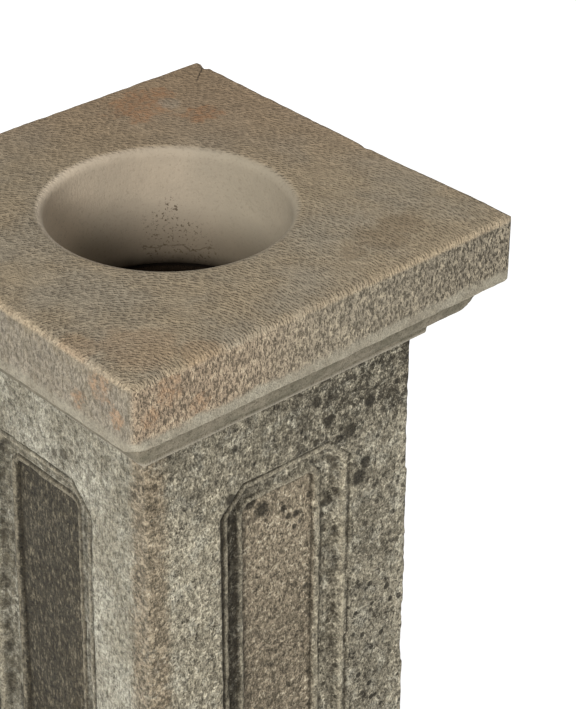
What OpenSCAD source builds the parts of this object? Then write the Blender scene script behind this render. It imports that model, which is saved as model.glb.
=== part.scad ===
// Stone garden lantern: a moulded cap stone with an open lamp well, on a panelled shaft
// and a moulded base stone. The stones stand on lead sheets and are held by iron dowels.
// Millimetres, +Z up, origin on the ground at the middle of the base.

/* [Stones] */
// Side of the square cap and base slabs
slab_w = 380; // [360:5:420]
// Thickness of the plain slab part of the cap and of the base
slab_t = 58; // [50:1:70]
// Height of the moulding under the cap slab and over the base slab
mould_h = 51; // [51:1:60]
// Height from the ground to the top of the cap
total_h = 760; // [700:10:800]
// Width of the shaft at its top
shaft_top_w = 275; // [270:1:280]
// Width of the shaft at its foot
shaft_foot_w = 285; // [280:1:288]
// Radius of the slab's upright corners
corner_r = 5; // [3:1:8]
// Radius of the slab's outer arris
arris_r = 5; // [3:1:6]
// Thickness of the lead sheet in each bed joint
sheet_t = 2; // [1:0.5:3]
// Distance from the shaft's edge to the lead sheet's edge
sheet_margin = 8; // [6:1:12]
// How far the upper lead sheet's hole stands back from the well's wall
sheet_setback = 1; // [0.5:0.5:3]

/* [Lamp well] */
// Radius of the well
well_r = 98; // [94:1:99]
// Radius of the rounded lip round the well's mouth
lip_r = 8; // [6:1:10]
// Depth of the well from the top of the cap
well_depth = 230; // [225:5:260]
// Radius of the drain from the well's floor down to the ground
drain_r = 10; // [8:1:14]

/* [Panels] */
// Half width of a sunk panel over its moulding
panel_half_w = 70.5; // [66:0.5:72]
// Distance from each end of the shaft to the panel
panel_end = 63; // [58:1:80]
// Leg of the panel's canted corners
panel_cant = 23.5; // [20:0.5:34]
// Depth of the panel's field below the shaft's face
panel_depth = 14; // [12:0.5:16]
// How far each panel sits off the middle of its face
panel_shift = 4.5; // [0:0.5:6]

/* [Dowels] */
// Distance from the axis to each dowel, along X and along Y
dowel_at = 105; // [103:1:107]
// Radius of the iron dowels
dowel_r = 8; // [6:0.5:9]
// Length of a dowel held in the lower stone
dowel_set = 50; // [40:1:60]
// Length of a dowel standing up into the upper stone
dowel_stand = 30; // [20:1:36]
// Thickness of the lead run in round a dowel
lead_wall = 5; // [3:1:6]
// Radial room round a dowel in the upper stone
dowel_room = 0.75; // [0.5:0.25:1.5]

/* [Oil lamp] */
// Radius of the oil dish at its rim
dish_r = 70; // [68:1:76]
// Height of the oil dish without its feet
dish_h = 46; // [40:1:50]
// Wall of the oil dish
dish_wall = 3; // [2:0.5:4]
// Height of the dish's feet
foot_h = 8; // [6:1:12]
// Height of the lid's dome above the dish's rim
lid_rise = 10; // [8:1:14]
// Outer radius of the wick tube
tube_r = 9; // [7:0.5:10]
// Radius of the wire of the bail
wire_r = 2.5; // [2:0.25:2.5]

/* [Hidden] */
$fn = 96;
half = slab_w / 2;
course_h = slab_t + mould_h;
shaft_z = course_h + sheet_t;
shaft_h = total_h - 2 * course_h - 2 * sheet_t;
shaft_top_z = shaft_z + shaft_h;
cap_z = shaft_top_z + sheet_t;
well_floor_z = total_h - well_depth;
top_half = shaft_top_w / 2;
foot_half = shaft_foot_w / 2;
batter = atan((foot_half - top_half) / shaft_h);
lead_r = dowel_r + lead_wall;
lead_end = 4;
socket_r = dowel_r + dowel_room;
socket_end = 4;

// Setbacks from the slab's face and drops from its underside, in the bed moulding
quirk_in = 17;
quirk_drop = 1;
ovolo_out = 32;
ovolo_drop = 32;
cavetto_in = 34;
cavetto_out = 43.5;
cavetto_drop = 45;
fillet_in = 44;
arc_steps = 6;

// Widths and depths across the panel's moulding, from its outer edge inwards
bead_w = 8.5;
bead_depth = 1.5;
hollow_w = 24.5;
hollow_depth = 9.5;
frame_w = 31;
skin = 0.2;

// How far a cutter runs past the face it opens, and how deep joined shapes overlap
past = 1;

// The lamp's small sizes, and its levels from the well's floor up
foot_gap = 0.1;
dish_z = well_floor_z + foot_h;
rim_z = dish_z + dish_h;
dish_base_r = 42;
rim_w = 8;
rim_t = 3;
rim_undercut = 4;
foot_r = 6;
foot_at = 34;
skirt_r = dish_r - rim_w - 0.5;
skirt_t = 2.5;
skirt_drop = 5;
lid_t = 2.5;
lid_r = dish_r - 2;
collar_r = 15;
vent_r = 4;
vent_at = 42;
tube_wall = 1.5;
tube_flange_t = 2;
tube_flange_w = 3;
tube_drop = 36;
tube_rise = 16;
wick_rise = 8;
wick_drop = 40;
wick_gap = 0.1;
axle_z = rim_z - 6;
lug_r = 6;
lug_t = 10;
lug_end = dish_r + 3;
pin_gap = 0.08;
pin_in = 1.4;
pin_hole_in = 1.5;
bail_r = dish_r + 6;
eye_r = 4.2;
eye_t = 5.4;

// One half of the slab and its moulding, from the slab's outer face down to the bed
function half_profile() = concat(
    [for (i = [0 : arc_steps]) let (t = i * 90 / arc_steps)
        [half - arris_r + arris_r * sin(t), slab_t - arris_r + arris_r * cos(t)]],
    [[half, 0], [half - quirk_in, 0]],
    [for (i = [0 : arc_steps]) let (t = i * 90 / arc_steps)
        [half - quirk_in - (ovolo_out - quirk_in) * (1 - cos(t)),
         -quirk_drop - (ovolo_drop - quirk_drop) * sin(t)]],
    [for (i = [0 : arc_steps]) let (t = i * 90 / arc_steps)
        [half - cavetto_in - (cavetto_out - cavetto_in) * sin(t),
         -cavetto_drop + (cavetto_drop - ovolo_drop) * cos(t)]],
    [[half - fillet_in, -cavetto_drop], [half - fillet_in, -mould_h]]);

// The same outline with its mirrored half, as one closed polygon
function full_profile() = let (right = half_profile(), n = len(right))
    concat(right, [for (i = [n - 1 : -1 : 0]) [-right[i][0], right[i][1]]]);

// A prism of an outline in XZ, run along Y
module run(length) {
    rotate([90, 0, 0])
        linear_extrude(height = length, center = true)
            children();
}

// Two crossed runs of one outline, which meet on mitres at the corners
module mitred(length) {
    intersection() {
        run(length) children();
        rotate([0, 0, 90]) run(length) children();
    }
}

// A square upright prism with round corners
module round_block(w, h, r) {
    translate([-w / 2 + r, -w / 2, 0]) cube([w - 2 * r, w, h]);
    translate([-w / 2, -w / 2 + r, 0]) cube([w, w - 2 * r, h]);
    for (x = [-1, 1], y = [-1, 1])
        translate([x * (w / 2 - r), y * (w / 2 - r), 0])
            cylinder(r = r, h = h);
}

// The slab with its moulding below it, the slab's underside at z = 0
module moulded_course() {
    intersection() {
        mitred(slab_w + 2 * past) polygon(full_profile());
        translate([0, 0, -mould_h]) round_block(slab_w, course_h, corner_r);
    }
}

// Places children at the four dowels
module at_dowels() {
    for (x = [-1, 1], y = [-1, 1])
        translate([x * dowel_at, y * dowel_at, 0])
            children();
}

// Outline of a panel with canted corners, set in by inset; its length runs along Y
module panel_outline(inset) {
    w = panel_half_w - inset;
    h = shaft_h / 2 - panel_end - inset;
    cant = panel_cant - inset * (2 - sqrt(2));
    polygon([[-w, -h + cant], [-w + cant, -h], [w - cant, -h], [w, -h + cant],
             [w, h - cant], [w - cant, h], [-w + cant, h], [-w, h - cant]]);
}

// One layer of a panel's cutter, from outside the face down to a depth
module panel_sinking(inset, depth) {
    translate([0, 0, -depth])
        linear_extrude(height = depth + 2 * past)
            panel_outline(inset);
}

// The whole cutter of a panel: bead, splayed hollow, inner frame and field
module panel_cutter() {
    panel_sinking(0, bead_depth);
    hull() {
        translate([0, 0, -bead_depth])
            linear_extrude(height = skin) panel_outline(bead_w);
        translate([0, 0, -hollow_depth])
            linear_extrude(height = skin) panel_outline(hollow_w);
    }
    panel_sinking(hollow_w, hollow_depth);
    panel_sinking(frame_w, panel_depth);
}

module base_stone() {
    color("#9a9686")
        difference() {
            translate([0, 0, slab_t]) mirror([0, 0, 1]) moulded_course();
            translate([0, 0, -past]) cylinder(r = drain_r, h = course_h + 2 * past);
            translate([0, 0, course_h - dowel_set - lead_end])
                at_dowels() cylinder(r = lead_r, h = dowel_set + lead_end + past);
        }
}

module base_dowels() {
    color("#5b3f30")
        translate([0, 0, course_h - dowel_set])
            at_dowels() cylinder(r = dowel_r, h = dowel_set + dowel_stand);
}

module dowel_leads(top_z) {
    color("#6d7178")
        translate([0, 0, top_z - dowel_set])
            at_dowels()
                difference() {
                    translate([0, 0, -lead_end]) cylinder(r = lead_r, h = dowel_set + lead_end);
                    cylinder(r = dowel_r, h = dowel_set + past);
                }
}

module base_dowel_leads() {
    dowel_leads(course_h);
}

// A lead sheet with holes for the dowels and one in the middle
module bed_sheet(z, w, hole_r) {
    side = w - 2 * sheet_margin;
    color("#6d7178")
        translate([0, 0, z])
            difference() {
                translate([-side / 2, -side / 2, 0]) cube([side, side, sheet_t]);
                translate([0, 0, -past]) cylinder(r = hole_r, h = sheet_t + 2 * past);
                translate([0, 0, -past])
                    at_dowels() cylinder(r = socket_r, h = sheet_t + 2 * past);
            }
}

module lower_bed_sheet() {
    bed_sheet(course_h, shaft_foot_w, drain_r);
}

module upper_bed_sheet() {
    bed_sheet(shaft_top_z, shaft_top_w, well_r + sheet_setback);
}

module shaft_block() {
    shaft_mid_z = shaft_z + shaft_h / 2;
    mid_half = (top_half + foot_half) / 2;
    color("#a3a08f")
        difference() {
            mitred(shaft_foot_w + 2 * past)
                polygon([[-foot_half, shaft_z], [foot_half, shaft_z],
                         [top_half, shaft_top_z], [-top_half, shaft_top_z]]);
            for (side = [0 : 3])
                rotate([0, 0, 90 * side])
                    translate([panel_shift * (side % 2 == 0 ? 1 : -1), -mid_half, shaft_mid_z])
                        rotate([90 - batter, 0, 0])
                            panel_cutter();
            translate([0, 0, well_floor_z]) cylinder(r = well_r, h = well_depth);
            translate([0, 0, shaft_z - past]) cylinder(r = drain_r, h = shaft_h);
            translate([0, 0, shaft_top_z - dowel_set - lead_end])
                at_dowels() cylinder(r = lead_r, h = dowel_set + lead_end + past);
            translate([0, 0, shaft_z - past])
                at_dowels() cylinder(r = socket_r, h = dowel_stand - sheet_t + socket_end + past);
        }
}

module cap_dowels() {
    color("#5b3f30")
        translate([0, 0, shaft_top_z - dowel_set])
            at_dowels() cylinder(r = dowel_r, h = dowel_set + dowel_stand);
}

module cap_dowel_leads() {
    dowel_leads(shaft_top_z);
}

module cap_stone() {
    color("#a2957c")
        difference() {
            translate([0, 0, total_h - slab_t]) moulded_course();
            translate([0, 0, cap_z - past]) cylinder(r = well_r, h = course_h + 2 * past);
            translate([0, 0, total_h])
                rotate_extrude()
                    difference() {
                        translate([well_r - past, -lip_r]) square(lip_r + past);
                        translate([well_r + lip_r, -lip_r]) circle(r = lip_r);
                    }
            translate([0, 0, cap_z - past])
                at_dowels() cylinder(r = socket_r, h = dowel_stand - sheet_t + socket_end + past);
        }
}

// Half outline of a bowl from its foot circle up to its rim
function bowl_side(r0, r1, z0, z1) = [for (i = [0 : arc_steps]) let (t = i * 90 / arc_steps)
    [r0 + (r1 - r0) * sin(t), z0 + (z1 - z0) * (1 - cos(t))]];

module oil_dish() {
    color("#7a6a42")
        difference() {
            union() {
                translate([0, 0, dish_z])
                    rotate_extrude()
                        polygon(concat([[0, 0]], bowl_side(dish_base_r, dish_r, 0, dish_h),
                                       [[0, dish_h]]));
                for (side = [-1, 1])
                    translate([side * (lug_end - lug_t), 0, axle_z])
                        rotate([0, side * 90, 0]) cylinder(r = lug_r, h = lug_t);
                for (turn = [0 : 2])
                    rotate([0, 0, 90 + 120 * turn])
                        translate([foot_at, 0, well_floor_z + foot_gap])
                            cylinder(r = foot_r, h = foot_h - foot_gap + past);
            }
            translate([0, 0, dish_z])
                rotate_extrude()
                    polygon(concat([[0, dish_wall]],
                                   bowl_side(dish_base_r - dish_wall, dish_r - rim_undercut,
                                             dish_wall, dish_h - rim_t),
                                   [[dish_r - rim_w, dish_h - rim_t],
                                    [dish_r - rim_w, dish_h + past], [0, dish_h + past]]));
            for (side = [-1, 1])
                translate([side * (dish_r - pin_hole_in), 0, axle_z])
                    rotate([0, side * 90, 0]) cylinder(r = wire_r + pin_gap, h = lug_t);
        }
}

module dish_lid() {
    color("#7a6a42")
        translate([0, 0, rim_z])
            difference() {
                rotate_extrude()
                    polygon([[tube_r, lid_rise], [collar_r, lid_rise], [lid_r, lid_t], [lid_r, 0],
                             [skirt_r, 0], [skirt_r, -skirt_drop],
                             [skirt_r - skirt_t, -skirt_drop], [skirt_r - skirt_t, 0],
                             [collar_r, lid_rise - lid_t], [tube_r, lid_rise - lid_t]]);
                for (turn = [0 : 2])
                    rotate([0, 0, 30 + 120 * turn])
                        translate([vent_at, 0, -past])
                            cylinder(r = vent_r, h = lid_rise + 2 * past);
            }
}

module wick_tube() {
    color("#8a7a4c")
        translate([0, 0, rim_z + lid_rise])
            difference() {
                union() {
                    translate([0, 0, -tube_drop]) cylinder(r = tube_r, h = tube_drop + tube_rise);
                    cylinder(r = tube_r + tube_flange_w, h = tube_flange_t);
                }
                translate([0, 0, -tube_drop - past])
                    cylinder(r = tube_r - tube_wall, h = tube_drop + tube_rise + 2 * past);
            }
}

module wick() {
    color("#d8cfb8")
        translate([0, 0, rim_z + lid_rise - wick_drop])
            cylinder(r = tube_r - tube_wall - wick_gap, h = wick_drop + tube_rise + wick_rise);
}

module bail() {
    color("#5b3f30")
        translate([0, 0, axle_z]) {
            intersection() {
                rotate_extrude() translate([bail_r, 0]) circle(r = wire_r);
                translate([-bail_r - eye_r, 0, -eye_r])
                    cube([2 * (bail_r + eye_r), bail_r + eye_r, 2 * eye_r]);
            }
            for (side = [-1, 1]) {
                translate([side * (bail_r - eye_t / 2), 0, 0])
                    rotate([0, side * 90, 0]) cylinder(r = eye_r, h = eye_t);
                translate([side * (dish_r - pin_in), 0, 0])
                    rotate([0, side * 90, 0]) cylinder(r = wire_r, h = bail_r - dish_r + pin_in);
            }
        }
}

base_stone();
base_dowels();
base_dowel_leads();
lower_bed_sheet();
shaft_block();
cap_dowels();
cap_dowel_leads();
upper_bed_sheet();
cap_stone();
oil_dish();
dish_lid();
wick_tube();
wick();
bail();
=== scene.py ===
"""A weathered stone garden lantern: cap stone with an open lamp well, panelled shaft, base and oil lamp."""
import math

import bpy
import numpy as np
from mathutils import Matrix, Vector


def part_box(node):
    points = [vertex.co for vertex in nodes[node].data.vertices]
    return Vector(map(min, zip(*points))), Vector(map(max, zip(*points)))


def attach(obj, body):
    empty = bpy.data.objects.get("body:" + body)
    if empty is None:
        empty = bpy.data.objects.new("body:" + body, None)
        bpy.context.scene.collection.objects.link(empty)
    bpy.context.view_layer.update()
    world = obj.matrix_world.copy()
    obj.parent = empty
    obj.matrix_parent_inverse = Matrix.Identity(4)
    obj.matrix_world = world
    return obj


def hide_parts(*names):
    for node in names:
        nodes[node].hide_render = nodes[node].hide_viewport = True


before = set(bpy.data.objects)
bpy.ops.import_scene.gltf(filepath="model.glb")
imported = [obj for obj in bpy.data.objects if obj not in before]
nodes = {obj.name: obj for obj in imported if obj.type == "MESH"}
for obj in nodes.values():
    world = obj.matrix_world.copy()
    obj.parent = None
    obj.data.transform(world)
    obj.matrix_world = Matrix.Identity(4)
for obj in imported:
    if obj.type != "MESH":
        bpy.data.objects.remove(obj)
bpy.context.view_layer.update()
MM = 0.001

# ---------------------------------------------------------------- sizes taken from the frame

cap_low, cap_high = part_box("cap_stone")
shaft_low, shaft_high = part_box("shaft_block")
base_low, base_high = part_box("base_stone")
sheet_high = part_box("upper_bed_sheet")[1]
SLAB_HALF = cap_high.x
CAP_TOP = cap_high.z
SLAB_T = 58 * MM
SLAB_UNDER = CAP_TOP - SLAB_T
WELL_R = 98 * MM
LIP_R = 8 * MM
SHAFT_TOP_HALF = sheet_high.x + 8 * MM
SHAFT_FOOT_HALF = shaft_high.x
SHAFT_H = shaft_high.z - shaft_low.z
SHAFT_MID = (shaft_high.z + shaft_low.z) / 2

# The sunk panels: distance from the shaft's ends, and cant of the corners
PANEL_END = 63 * MM
PANEL_CANT = 23.5 * MM
# Half width and side step of the panel on each face, from the -Y face round by +X
PANELS = ((69.5 * MM, 5.0 * MM), (70.5 * MM, -4.5 * MM), (70.5 * MM, 4.5 * MM), (71.4 * MM, -3.1 * MM))

# The panel's moulding, in plain millimetres inwards from its outer edge, and how deep its field lies
QUIRK_END = 2.2
OUTER_BEAD_END = 8.6
HOLLOW_END = 24.4
INNER_BEAD_END = 31.2
FIELD_DEPTH = 13.8

# Fineness of the carved meshes, and the most triangles that each keeps
FINE_VOXEL = 1.9 * MM
BASE_VOXEL = 2.4 * MM
CAP_TRIANGLES = 196000
SHAFT_TRIANGLES = 197000
BASE_TRIANGLES = 150000

# How far the slab's right-hand corner is drawn out of square, and how far it is lifted
CORNER_OUT = 3.6 * MM
CORNER_LIFT = 1.6 * MM

# How far a point stands out before it counts as an arris, and where it counts in full
ARRIS_START = 0.12 * MM
ARRIS_FULL = 0.75 * MM

# Below this height, and 100 mm on, the shaft's lichen thickens
LOW_Z = 0.40

# Painted light and shade: how much each face's colour is scaled from its look, to suit the light that falls
# on it, lighter on the top and darker on the sides and in the well
TOP_PAINTED_LIGHT_GAIN = 1.37
LEFT_PAINTED_SHADE_GAIN = 0.66
FRONT_PAINTED_SHADE_GAIN = 0.86
WELL_PAINTED_SHADE_GAIN = 0.98


# ---------------------------------------------------------------- camera, floor and light

def set_camera():
    """A long lens above the front corner, looking down on the cap."""
    side = math.radians(-42.23)
    height = math.radians(31.92)
    roll = math.radians(0.67)
    back = Vector((math.sin(side) * math.cos(height), -math.cos(side) * math.cos(height), math.sin(height)))
    level = (-back).cross(Vector((0, 0, 1))).normalized()
    lift = level.cross(-back)
    right = level * math.cos(roll) + lift * math.sin(roll)
    up = lift * math.cos(roll) - level * math.sin(roll)
    away, aside, below = 1.9197, 0.0941, 0.1170
    place = Vector((0, 0, CAP_TOP)) + back * away + right * aside - up * below
    camera = bpy.data.objects.new("camera", bpy.data.cameras.new("camera"))
    camera.data.lens = 124.4
    camera.data.sensor_width = 36
    camera.data.clip_end = 100
    turn = Matrix((right, up, back)).transposed().to_4x4()
    camera.matrix_world = Matrix.Translation(place) @ turn
    bpy.context.scene.collection.objects.link(camera)
    bpy.context.scene.camera = camera


def soft_light(name, place, aim, size, power, colour):
    """A square soft box that looks at a point."""
    light = bpy.data.lights.new(name, "AREA")
    light.shape = "SQUARE"
    light.size = size
    light.energy = power
    light.color = colour
    lamp = bpy.data.objects.new(name, light)
    lamp.location = place
    lamp.rotation_euler = (Vector(aim) - Vector(place)).to_track_quat("-Z", "Y").to_euler()
    bpy.context.scene.collection.objects.link(lamp)


def set_stage():
    """The pale floor, a dim white surround and a soft box."""
    scene = bpy.context.scene
    scene.view_settings.view_transform = "Standard"
    world = bpy.data.worlds.new("surround")
    scene.world = world
    world.use_nodes = True
    surround = world.node_tree.nodes["Background"]
    surround.inputs["Color"].default_value = (1, 1, 1, 1)
    surround.inputs["Strength"].default_value = 0.34
    bpy.ops.mesh.primitive_plane_add(size=30, location=(0, 0, 0))
    floor = bpy.context.object
    floor.name = "floor"
    soft_light("key", place=(-2.5, -1.4, 2.0), aim=(0, 0, 0.6), size=1.1, power=104,
               colour=(1.0, 0.985, 0.96))
    return floor


# ---------------------------------------------------------------- mesh helpers

def smooth_step(value, low, high):
    """0 below low, 1 above high, and an S-curve between them, on arrays."""
    t = np.clip((value - low) / (high - low), 0, 1)
    return t * t * (3 - 2 * t)


def lattice_noise(points, size, seed):
    """Smooth random values from -1 to 1 with features about size across."""
    scaled = points / size
    corner = np.floor(scaled).astype(np.int64)
    part = scaled - corner
    part = part * part * (3 - 2 * part)
    total = np.zeros(len(points))
    for step in range(8):
        offset = np.array([step & 1, step >> 1 & 1, step >> 2 & 1])
        cell = corner + offset
        key = cell[:, 0] * 73856093 ^ cell[:, 1] * 19349663 ^ cell[:, 2] * 83492791 ^ seed * 2654435761
        key = (key ^ (key >> 13)) * 1274126177 & 0xFFFFFFFF
        key = (key ^ (key >> 16)) & 0xFFFF
        weight = np.prod(np.where(offset, part, 1 - part), axis=1)
        total += weight * (key / 32767.5 - 1)
    return total


def rough_noise(points, size, layers, seed):
    """Lattice noise in layers, each half the size and half the height of the last."""
    total = np.zeros(len(points))
    for layer in range(layers):
        total += lattice_noise(points, size / 2 ** layer, seed + layer) / 2 ** layer
    return total


def only(piece):
    """Selects one object and makes it active."""
    bpy.ops.object.select_all(action="DESELECT")
    piece.select_set(True)
    bpy.context.view_layer.objects.active = piece


def apply_modifier(piece, kind, **settings):
    """Adds one modifier with its settings and applies it."""
    only(piece)
    modifier = piece.modifiers.new(kind.lower(), kind)
    for name, value in settings.items():
        setattr(modifier, name, value)
    bpy.ops.object.modifier_apply(modifier=modifier.name)


def copy_of(node, name):
    """A merged copy of a CAD node's mesh, as a new piece."""
    piece = bpy.data.objects.new(name, nodes[node].data.copy())
    piece.data.materials.clear()
    bpy.context.scene.collection.objects.link(piece)
    only(piece)
    bpy.ops.object.mode_set(mode="EDIT")
    bpy.ops.mesh.select_all(action="SELECT")
    bpy.ops.mesh.remove_doubles(threshold=0.01 * MM)
    bpy.ops.object.mode_set(mode="OBJECT")
    return piece


def get_points(mesh):
    """Vertex places as an array."""
    points = np.empty(len(mesh.vertices) * 3)
    mesh.vertices.foreach_get("co", points)
    return points.reshape(-1, 3)


def set_points(mesh, points):
    """Writes vertex places back."""
    mesh.vertices.foreach_set("co", points.ravel())
    mesh.update()


def get_normals(mesh):
    """Vertex normals as an array."""
    normals = np.empty(len(mesh.vertices) * 3)
    mesh.vertex_normals.foreach_get("vector", normals)
    return normals.reshape(-1, 3)


def relief(mesh, rounds):
    """How far each vertex stands out from its smoothed surroundings, in metres."""
    points = get_points(mesh)
    edges = np.empty(len(mesh.edges) * 2, dtype=np.int64)
    mesh.edges.foreach_get("vertices", edges)
    first, second = edges.reshape(-1, 2).T
    count = np.bincount(edges, minlength=len(points))
    soft = points.copy()
    for _ in range(rounds):
        around = np.empty_like(soft)
        for axis in range(3):
            around[:, axis] = np.bincount(first, soft[second, axis], len(points))
            around[:, axis] += np.bincount(second, soft[first, axis], len(points))
        soft = 0.5 * soft + 0.5 * around / count[:, None]
    return np.einsum("ij,ij->i", points - soft, get_normals(mesh))


def keep_attribute(mesh, name, values):
    """Stores one number per vertex for the material to read."""
    layer = mesh.attributes.new(name, "FLOAT", "POINT")
    layer.data.foreach_set("value", values.astype(np.float32))


# ---------------------------------------------------------------- carving the stones

def bead(mm, middle, half_width, crown, fall):
    """Depth over a round bead: crown at its middle, and fall deeper at its edges."""
    return crown + fall * (1 - np.sqrt(np.clip(1 - ((mm - middle) / half_width) ** 2, 0, 1)))


def panel_depth(inset):
    """Depth of the panel's moulding at a distance in from its edge: quirk, bead, hollow, bead, field."""
    mm = inset / MM
    quirk = 2.2 * np.clip(1 - np.abs(mm - 1.1) / 1.7, 0, 1)
    outer = bead(mm, middle=5.5, half_width=3.3, crown=1.0, fall=2.4)
    across = np.clip((mm - OUTER_BEAD_END) / 9.5, 0, 1)
    hollow = 3.4 + 7.4 * np.sqrt(np.clip(1 - (1 - across) ** 2, 0, 1))
    hollow = hollow - 0.9 * np.exp(-((mm - 17.5) / 1.9) ** 2)
    inner = bead(mm, middle=27.8, half_width=3.5, crown=8.8, fall=4.4)
    depth = np.where(mm < QUIRK_END, quirk, outer)
    depth = np.where(mm > OUTER_BEAD_END, hollow, depth)
    depth = np.where(mm > HOLLOW_END, np.minimum(inner, FIELD_DEPTH), depth)
    depth = np.where(mm > INNER_BEAD_END, FIELD_DEPTH, depth)
    return np.where(mm < -0.5, 0, depth) * MM


def face_places(points, side):
    """Where points lie against one face: depth below it, inset in its panel, and the face's outward way."""
    turn = math.radians(90 * side)
    out = np.array([math.sin(turn), -math.cos(turn)])
    run = np.array([math.cos(turn), math.sin(turn)])
    half_w, step = PANELS[side]
    half = SHAFT_TOP_HALF + (shaft_high.z - points[:, 2]) / SHAFT_H * (SHAFT_FOOT_HALF - SHAFT_TOP_HALF)
    half_h = SHAFT_H / 2 - PANEL_END
    along = np.abs(points[:, :2] @ run - step)
    height = np.abs(points[:, 2] - SHAFT_MID)
    cant = (half_w + half_h - PANEL_CANT - along - height) / math.sqrt(2)
    inset = np.minimum(np.minimum(half_w - along, half_h - height), cant)
    inset = inset + 0.7 * MM * lattice_noise(points, 38 * MM, 21 + side)
    return half - points[:, :2] @ out, inset, out


def carve_panels(points):
    """Moves the shaft's faces onto the panel's moulding, with the wander of hand work."""
    for side in range(4):
        deep, inset, out = face_places(points, side)
        wanted = panel_depth(inset) * (1 + 0.06 * lattice_noise(points, 55 * MM, 31 + side))
        near = (deep < 18 * MM) & (deep > -1 * MM) & (inset > -4 * MM)
        points[:, :2] += np.where(near, deep - wanted, 0)[:, None] * out


def panel_insets(points):
    """For each point its inset in the panel it lies on, or a little below zero away from the panels."""
    least = -12 * MM
    found = np.full(len(points), least)
    for side in range(4):
        deep, inset, _ = face_places(points, side)
        near = deep < 19 * MM
        found = np.where(near, np.maximum(found, np.maximum(inset, least)), found)
    return found


def wear(piece, chip, dent, wave, keep):
    """Chips and rounds the arrises, dents the faces and lets them wave, as far as keep allows."""
    mesh = piece.data
    points = get_points(mesh)
    normals = get_normals(mesh)
    arris = smooth_step(relief(mesh, 10), 0.25 * MM, 1.3 * MM)
    scoop = np.clip(rough_noise(points, 15 * MM, 3, 3) * 1.3 - 0.3, 0, 1)
    crumb = np.clip(lattice_noise(points, 4.5 * MM, 9) - 0.1, 0, 1)
    loss = arris * chip * (scoop + 0.45 * crumb + 0.1)
    loss += dent * rough_noise(points, 11 * MM, 3, 14) * 0.5
    loss += wave * lattice_noise(points, 85 * MM, 17) * 0.5
    set_points(mesh, points - normals * (loss * keep(points))[:, None])


def clear_of(points, *levels):
    """0 at each bed level, where a stone meets its neighbour, and 1 a few millimetres off it."""
    weight = np.ones(len(points))
    for level in levels:
        weight *= smooth_step(np.abs(points[:, 2] - level), 0.6 * MM, 4 * MM)
    return weight


def knock_off(piece, spots):
    """Breaks a chip out at each spot: (place, radius, depth)."""
    points = get_points(piece.data)
    normals = get_normals(piece.data)
    for place, radius, depth in spots:
        away = np.linalg.norm(points - np.array(place), axis=1)
        rag = radius * (1 + 0.35 * lattice_noise(points, radius * 0.5, 41))
        points -= normals * (depth * (1 - smooth_step(away, rag * 0.3, rag)))[:, None]
    set_points(piece.data, points)


def finish_stone(piece, triangles, node, body, material):
    """Thins the mesh to its budget, notes arrises and hollows, and hands the piece to the frame."""
    piece.data.calc_loop_triangles()
    ratio = triangles / len(piece.data.loop_triangles)
    if ratio < 1:
        apply_modifier(piece, "DECIMATE", ratio=ratio)
    standing = relief(piece.data, 7)
    keep_attribute(piece.data, "arris", smooth_step(standing, ARRIS_START, ARRIS_FULL))
    keep_attribute(piece.data, "hollow", smooth_step(-standing, ARRIS_START, ARRIS_FULL))
    only(piece)
    bpy.ops.object.shade_smooth()
    piece.data.materials.append(material)
    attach(piece, body)
    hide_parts(node)


def rough_out(node, name, voxel):
    """A fine, even mesh of a CAD stone, ready for carving."""
    piece = copy_of(node, name)
    apply_modifier(piece, "REMESH", mode="VOXEL", voxel_size=voxel)
    apply_modifier(piece, "SMOOTH", factor=0.5, iterations=3)
    return piece


def carve_cap(material):
    """The cap: worn slab, moulding, and a smooth well."""
    piece = rough_out("cap_stone", "cap", FINE_VOXEL)

    def keep(points):
        radius = np.hypot(points[:, 0], points[:, 1])
        open_face = 0.1 + 0.9 * smooth_step(radius, WELL_R + 3 * MM, WELL_R + LIP_R + 4 * MM)
        from_axes = np.minimum(np.abs(points[:, 0]), np.abs(points[:, 1]))
        corner = smooth_step(from_axes, SLAB_HALF - 16 * MM, SLAB_HALF)
        return open_face * (1 - 0.5 * corner) * clear_of(points, cap_low.z)

    points = get_points(piece.data)
    drawn_out = smooth_step(points[:, 0], 0.06, SLAB_HALF) * smooth_step(-points[:, 1], 0.02, SLAB_HALF)
    points[:, 0] += CORNER_OUT * drawn_out
    points[:, 2] += CORNER_LIFT * drawn_out * smooth_step(points[:, 2], SLAB_UNDER, CAP_TOP)
    set_points(piece.data, points)
    wear(piece, chip=2.0 * MM, dent=0.5 * MM, wave=0.9 * MM, keep=keep)
    edge = SLAB_HALF
    knock_off(piece, [
        ((edge, -28 * MM, CAP_TOP), 6 * MM, 3 * MM),
        ((edge - 2 * MM, edge - 13 * MM, CAP_TOP), 7 * MM, 4 * MM),
        ((-edge, -edge, CAP_TOP), 13 * MM, 2.5 * MM),
        ((-edge + 34 * MM, -edge, CAP_TOP), 10 * MM, 1.5 * MM),
        ((-edge, -edge, SLAB_UNDER), 12 * MM, 2.5 * MM),
    ])
    finish_stone(piece, CAP_TRIANGLES, "cap_stone", "cap", material)


def carve_shaft(material):
    """The shaft: four sunk panels, worn arrises and dented faces."""
    piece = rough_out("shaft_block", "shaft", FINE_VOXEL)
    points = get_points(piece.data)
    carve_panels(points)
    set_points(piece.data, points)
    wear(piece, chip=2.2 * MM, dent=0.8 * MM, wave=0.9 * MM,
         keep=lambda points: clear_of(points, shaft_low.z, shaft_high.z))
    finish_stone(piece, SHAFT_TRIANGLES, "shaft_block", "shaft", material)
    keep_attribute(piece.data, "inset", panel_insets(get_points(piece.data)) / MM)


def carve_base(material):
    """The base: the cap's moulding turned over, chipped harder than the stones above it."""
    piece = rough_out("base_stone", "base", BASE_VOXEL)
    wear(piece, chip=3.2 * MM, dent=0.8 * MM, wave=0.9 * MM,
         keep=lambda points: clear_of(points, base_low.z, base_high.z))
    finish_stone(piece, BASE_TRIANGLES, "base_stone", "base", material)


# ---------------------------------------------------------------- materials

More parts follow.
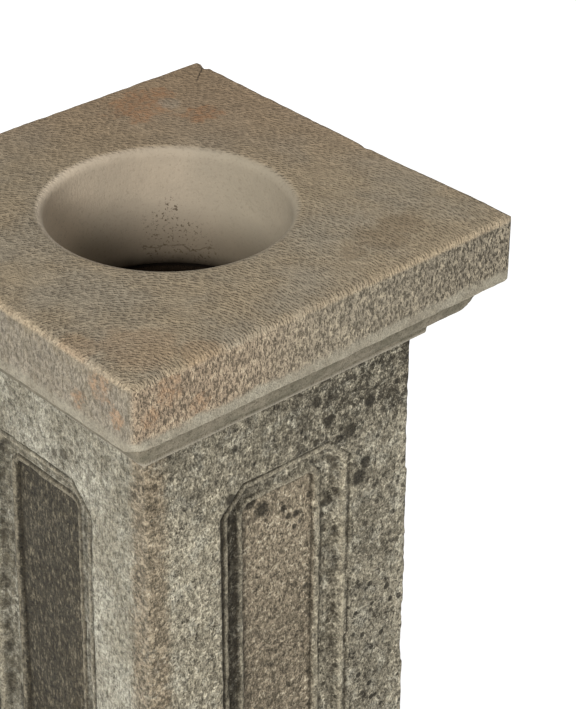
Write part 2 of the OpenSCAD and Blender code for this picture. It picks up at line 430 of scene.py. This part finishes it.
def tint(red, green, blue):
    """A screen colour, 0 to 255, as the shader's linear colour."""
    linear = [((c / 255 + 0.055) / 1.055) ** 2.4 for c in (red, green, blue)]
    return (*linear, 1.0)


class Number:
    """A number that varies over a surface; arithmetic on it adds Math nodes."""

    def __init__(self, paint, socket):
        self.paint = paint
        self.socket = socket

    def math(self, operation, *others):
        values = {0: self, **dict(enumerate(others, 1))}
        return self.paint.add("ShaderNodeMath", {"operation": operation}, values)

    def __add__(self, other):
        return self.math("ADD", other)

    def __sub__(self, other):
        return self.math("SUBTRACT", other)

    def __rsub__(self, other):
        return self.math("MULTIPLY_ADD", -1.0, other)

    def __mul__(self, other):
        return self.math("MULTIPLY", other)

    def __pow__(self, other):
        return self.math("POWER", other)

    def __abs__(self):
        return self.math("ABSOLUTE")

    __radd__ = __add__
    __rmul__ = __mul__

    def most(self, other):
        return self.math("MAXIMUM", other)

    def between(self, low, high):
        """0 at low, 1 at high, with an S-curve between them."""
        return self.paint.add("ShaderNodeMapRange", {"interpolation_type": "SMOOTHSTEP"},
                              {"Value": self, "From Min": low, "From Max": high})


class Paint:
    """One material's node tree."""

    def __init__(self, name):
        self.material = bpy.data.materials.new(name)
        self.material.use_nodes = True
        self.tree = self.material.node_tree
        self.surface = self.tree.nodes["Principled BSDF"]
        self.place = self.add("ShaderNodeTexCoord", output="Object")
        apart = [self.add("ShaderNodeSeparateXYZ", {}, {0: self.place}, axis) for axis in "XYZ"]
        self.x, self.y, self.z = apart

    def add(self, kind, settings=None, sockets=None, output=0):
        """Adds a node: its settings first, then the values or links of its sockets."""
        node = self.tree.nodes.new(kind)
        for name, value in (settings or {}).items():
            setattr(node, name, value)
        for name, value in (sockets or {}).items():
            self.put(node.inputs[name], value)
        return Number(self, node.outputs[output])

    def put(self, socket, value):
        """Links or sets one socket."""
        if isinstance(value, Number):
            self.tree.links.new(value.socket, socket)
        else:
            socket.default_value = value

    def stretched(self, x, y, z):
        """Object coordinates divided by three lengths."""
        return self.add("ShaderNodeVectorMath", {"operation": "MULTIPLY"},
                        {0: self.place, 1: (1 / x, 1 / y, 1 / z)})

    def clouds(self, size, detail=2, rough=0.5, seed=0.0, long_z=1.0):
        """Soft noise, about 0 to 1, with features of a size in millimetres."""
        step = size * MM
        where = self.stretched(step, step, step * long_z)
        return self.add("ShaderNodeTexNoise", {"noise_dimensions": "4D"},
                        {"Vector": where, "W": seed, "Scale": 1.0, "Detail": detail, "Roughness": rough})

    def spots(self, size, seed):
        """Distance to the nearest of scattered points, in units of their spacing, given in millimetres."""
        step = size * MM
        return self.add("ShaderNodeTexVoronoi", {"voronoi_dimensions": "4D"},
                        {"Vector": self.stretched(step, step, step), "W": seed, "Scale": 1.0}, "Distance")

    def mix(self, amount, first, second, blend="MIX"):
        """Mixes two colours by an amount."""
        node = self.tree.nodes.new("ShaderNodeMix")
        node.data_type = "RGBA"
        node.blend_type = blend
        for name, value in (("Factor_Float", amount), ("A_Color", first), ("B_Color", second)):
            self.put(next(s for s in node.inputs if s.identifier == name), value)
        return Number(self, next(s for s in node.outputs if s.identifier == "Result_Color"))

    def attribute(self, name):
        """A number stored on the mesh's vertices."""
        return self.add("ShaderNodeAttribute", {"attribute_name": name}, {}, "Fac")

    def times(self, colour, gain):
        """A colour made lighter or darker by a number."""
        return self.mix(1.0, colour, gain, "MULTIPLY")

    def finish(self, colour, rough, height, specular=0.3):
        """Feeds the surface: colour, roughness and a height in millimetres."""
        self.put(self.surface.inputs["Base Color"], colour)
        self.put(self.surface.inputs["Roughness"], rough)
        self.surface.inputs["Specular IOR Level"].default_value = specular
        bump = self.add("ShaderNodeBump", {}, {"Height": height, "Distance": MM, "Strength": 1.0})
        self.put(self.surface.inputs["Normal"], bump)
        return self.material


def nick_rows(paint):
    """Short nicks in rows that run round the slab's front corner: 1 in a nick, 0 between."""
    from_x = paint.x + SLAB_HALF
    from_y = paint.y + SLAB_HALF
    away = (from_x ** 2 + from_y ** 2) ** 0.5
    angle = from_x.math("ARCTAN2", from_y) - math.pi / 4
    wander = paint.clouds(40, 1, seed=3.1) * 0.010
    nick_pitch = 5.4 * MM
    row_pitch = 3.2 * MM
    where = paint.add("ShaderNodeCombineXYZ", {}, {"X": away * angle * (1 / nick_pitch),
                                                   "Y": (away + wander) * (1 / row_pitch)})
    nick = paint.add("ShaderNodeTexVoronoi", {"voronoi_dimensions": "2D"},
                     {"Vector": where, "Scale": 1.0, "Randomness": 0.62})
    fade = paint.clouds(24, 2, seed=5.7).between(0.30, 0.60)
    return (1 - nick.between(0.20, 0.42)) * (0.3 + fade * 0.7)


def upright_nicks(paint, wide, tall, seed, least=0.50, most=0.62):
    """Nicks drawn out upwards, as a point leaves them on an upright face."""
    coarse = paint.clouds(wide, 2, 0.65, seed, long_z=tall / wide)
    fine = paint.clouds(wide * 0.55, 1, 0.6, seed + 4, long_z=tall / wide)
    return (coarse * 0.6 + fine * 0.4).between(least, most)


def patch(paint, along, across, place, size, seed, ragged=0.5):
    """A round patch with a ragged edge: 1 inside it, 0 outside."""
    far = ((along - place[0] * MM) ** 2 + (across - place[1] * MM) ** 2) ** 0.5 * (1 / (size * MM))
    torn = (paint.clouds(max(size * 0.7, 3), 3, 0.7, seed) - 0.5) * 2 * ragged
    return 1 - (far + torn).between(0.6, 1.1)


def patches(paint, along, across, places, seed, ragged=0.5):
    """Patches at several places, each (along, across, size), joined."""
    total = patch(paint, along, across, places[0], places[0][2], seed, ragged)
    for index, place in enumerate(places[1:]):
        total = total.most(patch(paint, along, across, place, place[2], seed + index + 1, ragged))
    return total


def stone_noises(paint, grit, grain, broad, blotch):
    """The noises that a stone's colours share, each from its size in millimetres, detail and roughness."""
    paint.grit = paint.clouds(*grit, 1.0)
    paint.grain = paint.clouds(*grain, 1.5)
    paint.broad = paint.clouds(*broad, 2.0)
    paint.blotch = paint.clouds(*blotch, 6.0)
    paint.left_face = 1 - (paint.x - paint.y).between(-0.004, 0.004)


def cap_top(paint, nicks, sandy):
    """The slab's top: warm tooled stone with rust, stains, sandy arrises and a crack at the back."""
    x, y, grit, grain, blotch = paint.x, paint.y, paint.grit, paint.grain, paint.blotch
    top = paint.mix(paint.broad.between(0.35, 0.65), tint(141, 127, 105), tint(136, 126, 109))
    # Warmer towards the back, a real tone, and also painted lighter there as painted light where the light
    # falls off
    top = paint.mix((x + y).between(0.02, 0.30) * 0.75, top, tint(146, 124, 99))
    # Painted light: lighter towards the slab's right-hand corner, where the light falls off; the rest of
    # this factor is random tone
    shade = 1.0 + (x - y).between(0.0, 0.25) * 0.16 + (blotch - 0.5) * 0.5
    top = paint.times(top, shade + (grain - 0.5) * 1.1 + (grit - 0.5) * 0.7)
    rust = patches(paint, x, y, [(92, 150, 30), (126, 106, 18), (112, 160, 20)], 40.0, 1.3)
    top = paint.mix(rust * (grain.between(0.38, 0.60) * 0.6 + 0.2), top, tint(148, 112, 82))
    stain = patches(paint, x, y, [(86, -147, 22), (118, -143, 18), (60, -150, 14)], 45.0, 1.2)
    top = paint.mix(stain * 0.35, top, tint(106, 90, 68))
    top = paint.mix(patch(paint, x, y, (116, 140), 12, 50.0) * 0.4, top, tint(150, 141, 126))
    warm = patches(paint, x, y, [(-150, -150, 34), (-184, -120, 20), (-120, -184, 20)], 52.0)
    top = paint.mix(warm * 0.35, top, tint(146, 120, 92))
    # Painted shade: darker in the tool nicks
    top = paint.mix(nicks * 0.30, top, tint(84, 71, 53))
    top = paint.mix(sandy * grit.between(0.56, 0.68) * 0.6, top, tint(196, 176, 148))
    top = paint.mix(sandy * (1 - grit.between(0.30, 0.42)) * 0.6, top, tint(78, 66, 50))
    crack_x, crack_y = 0.1875, 0.1793
    crack = abs((x - crack_x) * 0.658 - (y - crack_y) * 0.753 + (grain - 0.5) * 0.004) * 1000
    crack = (1 - crack.between(0.3, 1.0)) * (x + y).between(0.305, 0.330)
    return paint.mix(crack * 0.8, top, tint(60, 50, 38))


def cap_sides(paint, coarse, fine, from_front):
    """The slab's sides: pocked on two of them, with painted shade in the pocks that makes them darker, and
    finely nicked with painted shade in the nicks on the other two.
    """
    x, y, z, grit, grain, blotch = paint.x, paint.y, paint.z, paint.grit, paint.grain, paint.blotch
    front = paint.mix((1 - from_front.between(0.05, 0.22)), tint(166, 155, 134), tint(176, 156, 131))
    # Painted shade: darker in the pocks
    front = paint.mix(coarse * 0.70, front, tint(80, 72, 56))
    front = paint.mix(grain.between(0.52, 0.62) * (1 - coarse) * 0.5, front, tint(192, 178, 152))
    far_right = (x + (blotch - 0.5) * 0.2).between(0.02, 0.20)
    # Painted shade: the pocks darker still towards the right
    front = paint.mix(far_right * coarse * 0.45, front, tint(58, 52, 41))
    left = paint.mix(blotch.between(0.4, 0.6), tint(166, 156, 138), tint(154, 144, 125))
    # Painted shade: darker in the fine nicks
    left = paint.mix(fine * 0.6, left, tint(100, 91, 74))
    upper = (z + (blotch - 0.5) * 0.03).between(CAP_TOP - 16 * MM, CAP_TOP)
    left = paint.mix(upper * 0.5, left, tint(150, 136, 112))
    side = paint.mix(paint.left_face, front, left)
    rust = patches(paint, x + y, z, [(-345, 745, 14), (-362, 728, 10), (-318, 724, 9)], 60.0, 1.3)
    side = paint.mix(rust * (grain.between(0.38, 0.60) * 0.5 + 0.1), side, tint(172, 138, 106))
    shade = 0.70 + (blotch - 0.5) * 0.4 + paint.broad * 0.28 + (grain - 0.5) * 1.6
    return paint.times(side, shade + (grit - 0.5) * 1.4 + 0.14 - (x - y).between(0.12, 0.30) * 0.06)


def cap_margin(paint):
    """The smooth draughted margin along the foot of the slab's sides."""
    soft = paint.mix(paint.blotch.between(0.35, 0.65), tint(160, 153, 135), tint(146, 138, 120))
    return paint.times(soft, 1.05 + (paint.grit - 0.5) * 1.4 + (paint.grain - 0.5) * 0.8)


def cap_moulding(paint, run):
    """The moulding under the slab, drab, with a painted highlight along its bottom arris."""
    mould = paint.mix(paint.blotch.between(0.35, 0.65), tint(112, 106, 88), tint(140, 131, 112))
    # Painted shade: darker in the moulding's tool marks
    mould = paint.mix(run * 0.5, mould, tint(78, 71, 56))
    # Painted highlight: a pale band along the moulding's bottom arris
    return paint.mix(1 - (paint.z - cap_low.z).between(1 * MM, 5 * MM), mould, tint(164, 156, 139))


def cap_well(paint):
    """The well: pale, with black specks and a thin line part of the way down, a painted highlight on one
    wall, and painted shade that darkens it to black at its bottom.
    """
    x, y, z, blotch = paint.x, paint.y, paint.z, paint.blotch
    well = paint.mix(paint.broad.between(0.3, 0.7), tint(181, 167, 147), tint(168, 156, 138))
    well = paint.mix((x - y * 0.4).between(0.03, 0.10) * 0.6, well, tint(150, 142, 124))
    # Painted light: one wall of the well made much lighter
    painted_light_side = (y * 0.6 - x).between(0.02, 0.12)
    well = paint.times(well, 0.80 + blotch * 0.22 + paint.grit * 0.10 + painted_light_side * 0.85)
    speck_places = [(-22, 684, 24), (8, 672, 26), (24, 664, 20), (-30, 668, 20), (-12, 700, 16)]
    cluster = patches(paint, x - y, z, speck_places, 70.0)
    specks = paint.clouds(2.6, 3, 0.7, 74.0).between(0.55, 0.63)
    well = paint.mix(specks * (0.15 + cluster * 0.75), well, tint(74, 60, 44))
    line_z = 0.668
    off_line = (abs(z - line_z + (blotch - 0.5) * 0.02) * 1000).between(0.0, 1.1)
    well = paint.mix((1 - off_line) * cluster * 0.7, well, tint(70, 57, 42))
    # Painted shade: darker down the well, and black at its bottom
    depth = CAP_TOP - z + (blotch - 0.5) * 0.008
    well = paint.mix(depth.between(0.050, 0.096) * 0.5, well, tint(112, 98, 78))
    return paint.mix(depth.between(0.092, 0.112), well, tint(44, 33, 20))


def cap_material():
    """Tooled top, nicked sides, draughted margin, moulding, and a smooth well with painted shade that turns
    it black lower down.
    """
    paint = Paint("cap stone")
    stone_noises(paint, (1.5, 2, 0.7), (4.5, 3, 0.7), (75, 3, 0.6), (18, 4, 0.65))
    x, y, z, grit, grain, blotch = paint.x, paint.y, paint.z, paint.grit, paint.grain, paint.blotch
    left_face = paint.left_face
    radius = (x ** 2 + y ** 2) ** 0.5
    on_top = z.between(CAP_TOP - 6 * MM, CAP_TOP - 2.5 * MM)
    outside = radius.between(WELL_R + 1.5 * MM, WELL_R + LIP_R)
    on_slab = z.between(SLAB_UNDER - 1 * MM, SLAB_UNDER + 1 * MM)
    margin = 1 - (z + (blotch - 0.5) * 0.012).between(SLAB_UNDER + 7 * MM, SLAB_UNDER + 14 * MM)
    from_front = ((x + SLAB_HALF) ** 2 + (y + SLAB_HALF) ** 2) ** 0.5
    from_edge = SLAB_HALF - abs(x).most(abs(y))
    sandy = (1 - from_front.between(0.02, 0.11)).most(1 - from_edge.between(0.002, 0.014))
    nicks = nick_rows(paint)
    coarse = upright_nicks(paint, 2.4, 5.4, 12.0, 0.49, 0.57)
    fine = upright_nicks(paint, 2.5, 7.0, 16.0, 0.49, 0.58)
    run = upright_nicks(paint, 2.6, 4.0, 30.0)

    side = paint.mix(margin, cap_sides(paint, coarse, fine, from_front), cap_margin(paint))
    body = paint.mix(on_slab, cap_moulding(paint, run), side)
    body = paint.mix(paint.attribute("arris") * 0.1 * (1 - on_top), body, tint(188, 176, 154))
    body = paint.mix(on_top, body, cap_top(paint, nicks, sandy))
    # Painted shade: darker in the hollows
    body = paint.mix(paint.attribute("hollow") * 0.55 * outside, body, tint(66, 59, 46))
    colour = paint.mix(outside, cap_well(paint), body)
    # Painted light and shade: the top made lighter, and the sides and the well darker, by the light that
    # falls on each
    face_painted_light = FRONT_PAINTED_SHADE_GAIN + left_face * (LEFT_PAINTED_SHADE_GAIN - FRONT_PAINTED_SHADE_GAIN)
    gain = face_painted_light + on_top * (TOP_PAINTED_LIGHT_GAIN - face_painted_light)
    colour = paint.times(colour, WELL_PAINTED_SHADE_GAIN + outside * (gain - WELL_PAINTED_SHADE_GAIN))

    on_side = on_slab * (1 - margin) * (1 - on_top)
    cuts = left_face * fine * 0.35 + (1 - left_face) * coarse * 0.8
    height = (grit - 0.5) * 0.8 + (grain - 0.5) * 2.2 - nicks * 0.9 * on_top - cuts * 1.3 * on_side
    height = height + (grain - 0.5) * 2.5 * on_side
    height = height + sandy * grit * 0.5 - (1 - on_slab) * run * 0.5
    return paint.finish(colour, 0.9, height * (0.12 + outside * 0.88))


def black_lichen(paint):
    """Black lichen: big spots listed one by one, and two sizes of scattered ones."""
    x, z, fuzz, right_half = paint.x, paint.z, paint.fuzz, paint.right_half
    big = [(-9.6, 539, 9), (-22, 550, 7), (26.6, 519, 4), (24.4, 507, 3), (18, 520, 3.5), (13, 530, 3.5),
           (57, 519, 7), (-50, 622, 4), (35, 629, 6), (93, 605, 7), (59, 583, 5), (83, 536, 9), (90, 548, 7),
           (72, 586, 8), (49, 606, 6), (-55, 577, 6)]
    low = 1 - (z + (paint.blotch - 0.5) * 0.1).between(LOW_Z, LOW_Z + 0.10)
    small = paint.spots(10, 7.0) + (fuzz - 0.5) * 0.25
    fleck = paint.spots(5.2, 9.0) + (fuzz - 0.5) * 0.25
    black = patches(paint, x, z, big, 80.0, 0.55)
    black = black.most((1 - small.between(0.27, 0.33)) * (0.30 + right_half * 0.45 + low * 0.25))
    return black.most((1 - fleck.between(0.26, 0.33)) * (0.40 + right_half * 0.35))


def shaft_front(paint, dashes):
    """The shaft's two lichened faces: pale stone, dark growth in the mouldings, painted shade in the near
    jamb and under the cap, and lichen spots.
    """
    x, z, grain, blotch = paint.x, paint.z, paint.grain, paint.blotch
    field, band, cloud, mottle = paint.field, paint.band, paint.cloud, paint.mottle
    front = paint.mix(paint.broad.between(0.38, 0.62), tint(176, 169, 152), tint(162, 155, 138))
    front = paint.mix(field * 0.8, front, tint(176, 161, 140))
    front = paint.mix(blotch.between(0.50, 0.60) * 0.6 * (1 - field), front, tint(200, 196, 182))
    # Painted shade: darker in the tool dashes
    front = paint.mix(dashes * 0.62, front, tint(80, 73, 59))
    front = paint.mix(grain.between(0.53, 0.62) * (1 - dashes) * 0.6, front, tint(208, 200, 182))
    # Painted shade: the panel's near jamb made dark
    jamb = band * (1 - x.between(-0.05, -0.01)) * (1 - paint.inset.between(24.0, 26.0) * 0.4)
    right_stile = x.between(0.062, 0.075) * (1 - x.between(0.120, 0.130)) * (1 - field)
    # Growth, and painted shade under the cap and in the near jamb, darken the stone
    growth_and_painted_shade = paint.upper.most(jamb * 1.1).most(right_stile * 0.5).most(band * 0.6).most(field * 0.25)
    front = paint.mix(growth_and_painted_shade * cloud * 0.85, front, tint(54, 48, 37))
    front = paint.mix(mottle.between(0.57, 0.61) * 0.85, front, tint(54, 48, 38))
    # Painted shade: more darkness in the near jamb
    front = paint.mix(jamb * (0.55 + cloud * 0.4), front, tint(60, 54, 42))
    front = paint.mix(black_lichen(paint) * 0.88, front, tint(48, 43, 33))
    low_field = field * (1 - z.between(LOW_Z, LOW_Z + 0.10))
    return paint.mix(low_field * cloud * 0.4, front, tint(70, 63, 50))


def shaft_left(paint, streaks):
    """The shaft's two limy faces: pale grey, streaked, with a dark sunk field and painted shade under the
    cap.
    """
    y, z, blotch, inset = paint.y, paint.z, paint.blotch, paint.inset
    band, cloud, mottle = paint.band, paint.cloud, paint.mottle
    left = paint.mix(paint.broad.between(0.38, 0.62), tint(200, 197, 184), tint(172, 167, 152))
    left = paint.mix(blotch.between(0.52, 0.64) * 0.6, left, tint(190, 188, 176))
    # Painted shade: darker in the tool streaks
    left = paint.mix(streaks * 0.62, left, tint(112, 106, 91))
    left = paint.mix(mottle.between(0.56, 0.60) * 0.65, left, tint(86, 80, 66))
    smear = (y + z * 0.2 + (blotch - 0.5) * 0.05).between(0.02, 0.08)
    dark = paint.mix(smear, tint(72, 62, 43), tint(54, 47, 34))
    ticks = paint.clouds(2.6, 3, 0.7, 27.0, long_z=3.2).between(0.50, 0.60)
    dark = paint.mix(ticks * 0.6, dark, tint(150, 141, 120))
    dark = paint.mix(mottle.between(0.48, 0.56) * 0.7, dark, tint(42, 37, 28))
    left = paint.mix(paint.field.most(inset.between(23.0, 26.0)) * 0.92, left, dark)
    left = paint.mix(band * (1 - inset.between(22.0, 24.0)) * (0.3 + cloud * 0.5), left, tint(96, 90, 76))
    lichen = patches(paint, y, z, [(-36, 604, 6), (-24, 600, 4), (-46, 612, 3)], 110.0)
    left = paint.mix(lichen * 0.7, left, tint(64, 58, 47))
    # Painted shade: darker under the cap
    return paint.mix(paint.upper * cloud * 0.6, left, tint(90, 84, 70))


def front_stripe(paint, colour):
    """Browns the shaft's front arris in a stripe that widens downwards."""
    x, y, z = paint.x, paint.y, paint.z
    patchy = paint.fuzz * 0.5 + paint.blotch * 0.5
    from_arris = abs(x + SHAFT_TOP_HALF).most(abs(y + SHAFT_TOP_HALF))
    from_arris = from_arris - (shaft_high.z - z) * 0.01 + (paint.blotch - 0.5) * 0.02
    stripe = 1 - from_arris.between(0.010, 0.024)
    brown = paint.mix(paint.grain.between(0.42, 0.60), tint(112, 99, 80), tint(164, 149, 128))
    colour = paint.mix(stripe * 0.75, colour, brown)
    colour = paint.mix(stripe * patchy.between(0.54, 0.62) * 0.7, colour, tint(196, 190, 174))
    return paint.mix(stripe * (1 - patchy.between(0.38, 0.45)) * 0.8, colour, tint(60, 54, 43))


def shaft_material():
    """Grey tooled stone with lime, black lichen, dark run-off in the mouldings mixed with painted shade,
    painted shade under the cap, and a well painted black as shade.
    """
    paint = Paint("shaft stone")
    stone_noises(paint, (1.9, 2, 0.7), (4.0, 3, 0.75), (60, 3, 0.6), (20, 4, 0.7))
    x, y, z, grit, grain, blotch = paint.x, paint.y, paint.z, paint.grit, paint.grain, paint.blotch
    left_face = paint.left_face
    top_z = shaft_high.z
    paint.inset = paint.attribute("inset")
    paint.field = paint.inset.between(29.5, 32.0)
    paint.band = paint.inset.between(-1.0, 1.0) * (1 - paint.field)
    paint.fuzz = paint.clouds(3.0, 3, 0.8, 21.0)
    paint.mottle = paint.clouds(9, 5, 0.85, 33.0)
    paint.cloud = (paint.mottle * 0.7 + paint.fuzz * 0.3).between(0.44, 0.53)
    paint.right_half = (x + (blotch - 0.5) * 0.12).between(-0.03, 0.06)
    # Painted shade: the top of the shaft, under the cap's overhang, marked for darkening
    high_up = (z + (blotch - 0.5) * 0.10).between(top_z - 0.075, top_z - 0.055)
    paint.upper = high_up * (0.55 + paint.right_half * 0.45)
    dashes = upright_nicks(paint, 2.5, 4.6, 12.0, 0.50, 0.57)
    streaks = upright_nicks(paint, 2.3, 8.0, 16.0, 0.50, 0.59)

    colour = paint.mix(left_face, shaft_front(paint, dashes), shaft_left(paint, streaks))
    colour = front_stripe(paint, colour)
    colour = paint.mix(paint.attribute("arris") * paint.band * 0.45, colour, tint(192, 183, 163))
    # Painted shade: darker in the hollows
    colour = paint.mix(paint.attribute("hollow") * 0.85, colour, tint(54, 48, 37))
    colour = paint.times(colour, 1.06 + (grit - 0.5) * 2.0 + (grain - 0.5) * 3.0)
    # Painted shade: the shaft's faces made darker, the two left faces more, by the light that falls on them
    colour = paint.times(colour, FRONT_PAINTED_SHADE_GAIN + left_face * (LEFT_PAINTED_SHADE_GAIN - FRONT_PAINTED_SHADE_GAIN))
    colour = paint.times(colour, (1.0, 0.985, 0.92, 1.0))
    # Painted shade: the shaft's part of the well painted near black
    inside = 1 - ((x ** 2 + y ** 2) ** 0.5).between(WELL_R + 3 * MM, WELL_R + 6 * MM)
    colour = paint.mix(inside, colour, tint(50, 37, 23))
    cuts = left_face * streaks * 0.35 + (1 - left_face) * dashes * 0.8
    height = (grit - 0.5) * 1.8 + (grain - 0.5) * 6 - cuts * 1.2
    return paint.finish(colour, 0.92, height)


def base_material():
    """The base's stone, darker and mossy towards the ground."""
    paint = Paint("base stone")
    grit = paint.clouds(1.5, 2, 0.7, 1.0)
    grain = paint.clouds(4.0, 3, 0.75, 1.5)
    blotch = paint.clouds(20, 4, 0.7, 6.0)
    nicks = upright_nicks(paint, 2.0, 4.6, 12.0)
    colour = paint.mix(blotch.between(0.38, 0.62), tint(128, 119, 101), tint(150, 142, 125))
    # Painted shade: darker in the tool nicks
    colour = paint.mix(nicks * 0.75, colour, tint(72, 65, 52))
    damp = (1 - paint.z.between(0.0, 0.07)) * paint.clouds(30, 3, 0.6, 9.0).between(0.3, 0.6)
    colour = paint.mix(damp * 0.7, colour, tint(80, 80, 56))
    colour = paint.mix(paint.attribute("arris") * 0.4, colour, tint(180, 172, 152))
    # Painted shade: darker in the hollows
    colour = paint.mix(paint.attribute("hollow") * 0.6, colour, tint(56, 51, 41))
    # Painted shade: the base made darker by the front faces' light factor, along with random tone
    colour = paint.times(colour, (0.80 + (grit - 0.5) * 0.5 + grain * 0.4) * FRONT_PAINTED_SHADE_GAIN)
    height = (grit - 0.5) * 1.2 + (grain - 0.5) * 4.0 - nicks
    return paint.finish(colour, 0.92, height)


def floor_material():
    """A pale floor that glows a little, so that the surround is white."""
    paint = Paint("pale floor")
    paint.surface.inputs["Base Color"].default_value = (0.6, 0.6, 0.6, 1)
    paint.surface.inputs["Roughness"].default_value = 0.9
    paint.surface.inputs["Emission Color"].default_value = (1, 1, 1, 1)
    paint.surface.inputs["Emission Strength"].default_value = 0.9
    return paint.material


def rust_material():
    """Rusted iron: dark brown with orange bloom in the pits."""
    paint = Paint("rusted iron")
    bloom = paint.clouds(3.5, 4, 0.7, 3.0)
    pits = paint.clouds(1.2, 2, 0.6, 8.0)
    colour = paint.mix(bloom.between(0.40, 0.62), tint(62, 42, 32), tint(128, 74, 42))
    colour = paint.mix(pits.between(0.60, 0.70) * 0.6, colour, tint(34, 26, 22))
    paint.surface.inputs["Metallic"].default_value = 0.35
    return paint.finish(colour, 0.62 + bloom * 0.3, bloom * 0.25 + pits * 0.15, 0.4)


def lead_material():
    """Dull lead sheet, whitened where it has weathered, with painted shade inside the well."""
    paint = Paint("dull lead")
    bloom = paint.clouds(9, 4, 0.65, 3.0)
    scratch = paint.clouds(2.5, 2, 0.6, 5.0)
    colour = paint.mix(bloom.between(0.35, 0.65), tint(92, 96, 102), tint(136, 139, 142))
    colour = paint.mix(scratch.between(0.60, 0.68) * 0.5, colour, tint(64, 66, 70))
    lit = ((paint.x ** 2 + paint.y ** 2) ** 0.5).between(WELL_R + 1.5 * MM, WELL_R + 4 * MM)
    # Painted shade: the sheet made near black inside the well
    shade_in_well = (1 - lit) * paint.z.between(0.4, 0.5)
    colour = paint.mix(shade_in_well, colour, tint(34, 26, 19))
    paint.surface.inputs["Metallic"].default_value = 0.5
    return paint.finish(colour, 0.5 + bloom * 0.3, bloom * 0.2, 0.4)


def bronze_material():
    """Tarnished bronze: brown, with green in the hollows and soot near the wick."""
    paint = Paint("tarnished bronze")
    bloom = paint.clouds(11, 4, 0.65, 3.0)
    fine = paint.clouds(1.6, 3, 0.65, 5.0)
    radius = (paint.x ** 2 + paint.y ** 2) ** 0.5
    colour = paint.mix(bloom.between(0.35, 0.65), tint(112, 86, 52), tint(150, 118, 72))
    colour = paint.mix((bloom * 0.6 + fine * 0.4).between(0.54, 0.64) * 0.7, colour, tint(88, 118, 98))
    colour = paint.mix((1 - radius.between(0.016, 0.045)) * 0.75, colour, tint(38, 32, 27))
    colour = paint.mix(fine.between(0.58, 0.70) * 0.35, colour, tint(60, 46, 32))
    paint.surface.inputs["Metallic"].default_value = 0.85
    return paint.finish(colour, 0.34 + bloom * 0.3 + fine * 0.1, fine * 0.12 + bloom * 0.2, 0.5)


def brass_material():
    """Brass tube, sooted towards its open end."""
    paint = Paint("sooted brass")
    fine = paint.clouds(1.4, 3, 0.65, 5.0)
    bloom = paint.clouds(6, 3, 0.65, 3.0)
    soot_low, soot_high = 0.596, 0.612
    soot = (paint.z + (bloom - 0.5) * 0.012).between(soot_low, soot_high)
    colour = paint.mix(bloom.between(0.35, 0.65), tint(168, 134, 74), tint(138, 106, 60))
    colour = paint.mix(soot * 0.85, colour, tint(36, 31, 27))
    paint.surface.inputs["Metallic"].default_value = 0.9
    return paint.finish(colour, 0.30 + fine * 0.2 + soot * 0.4, fine * 0.08, 0.5)


def cotton_material():
    """Plaited cotton wick with a charred tip."""
    paint = Paint("cotton wick")
    turn = paint.x.math("ARCTAN2", paint.y)
    strands, rise = 4, 1500
    left_lay = (turn * strands + paint.z * rise).math("SINE")
    right_lay = (turn * strands - paint.z * rise).math("SINE")
    lay = left_lay.most(right_lay).between(-0.4, 1.0)
    fibre = paint.clouds(0.6, 3, 0.7, 5.0)
    colour = paint.mix(lay, tint(142, 128, 100), tint(206, 194, 168))
    colour = paint.mix(fibre.between(0.55, 0.70) * 0.35, colour, tint(116, 102, 78))
    char_low, char_high = 0.6125, 0.6155
    char = (paint.z + (paint.clouds(3, 2, 0.6, 2.0) - 0.5) * 0.006).between(char_low, char_high)
    colour = paint.mix(char, colour, tint(22, 19, 17))
    return paint.finish(colour, 0.9, lay * 0.5 + fibre * 0.15, 0.2)


def small_materials():
    """Gives each CAD node that stays in view its own material."""
    iron, lead, bronze = rust_material(), lead_material(), bronze_material()
    chosen = {
        "base_dowels": iron, "cap_dowels": iron, "bail": iron,
        "base_dowel_leads": lead, "cap_dowel_leads": lead, "lower_bed_sheet": lead, "upper_bed_sheet": lead,
        "oil_dish": bronze, "dish_lid": bronze, "wick_tube": brass_material(), "wick": cotton_material(),
    }
    for node, material in chosen.items():
        for slot in nodes[node].material_slots:
            slot.material = material


set_camera()
floor = set_stage()
floor.data.materials.append(floor_material())
carve_cap(cap_material())
carve_shaft(shaft_material())
carve_base(base_material())
small_materials()
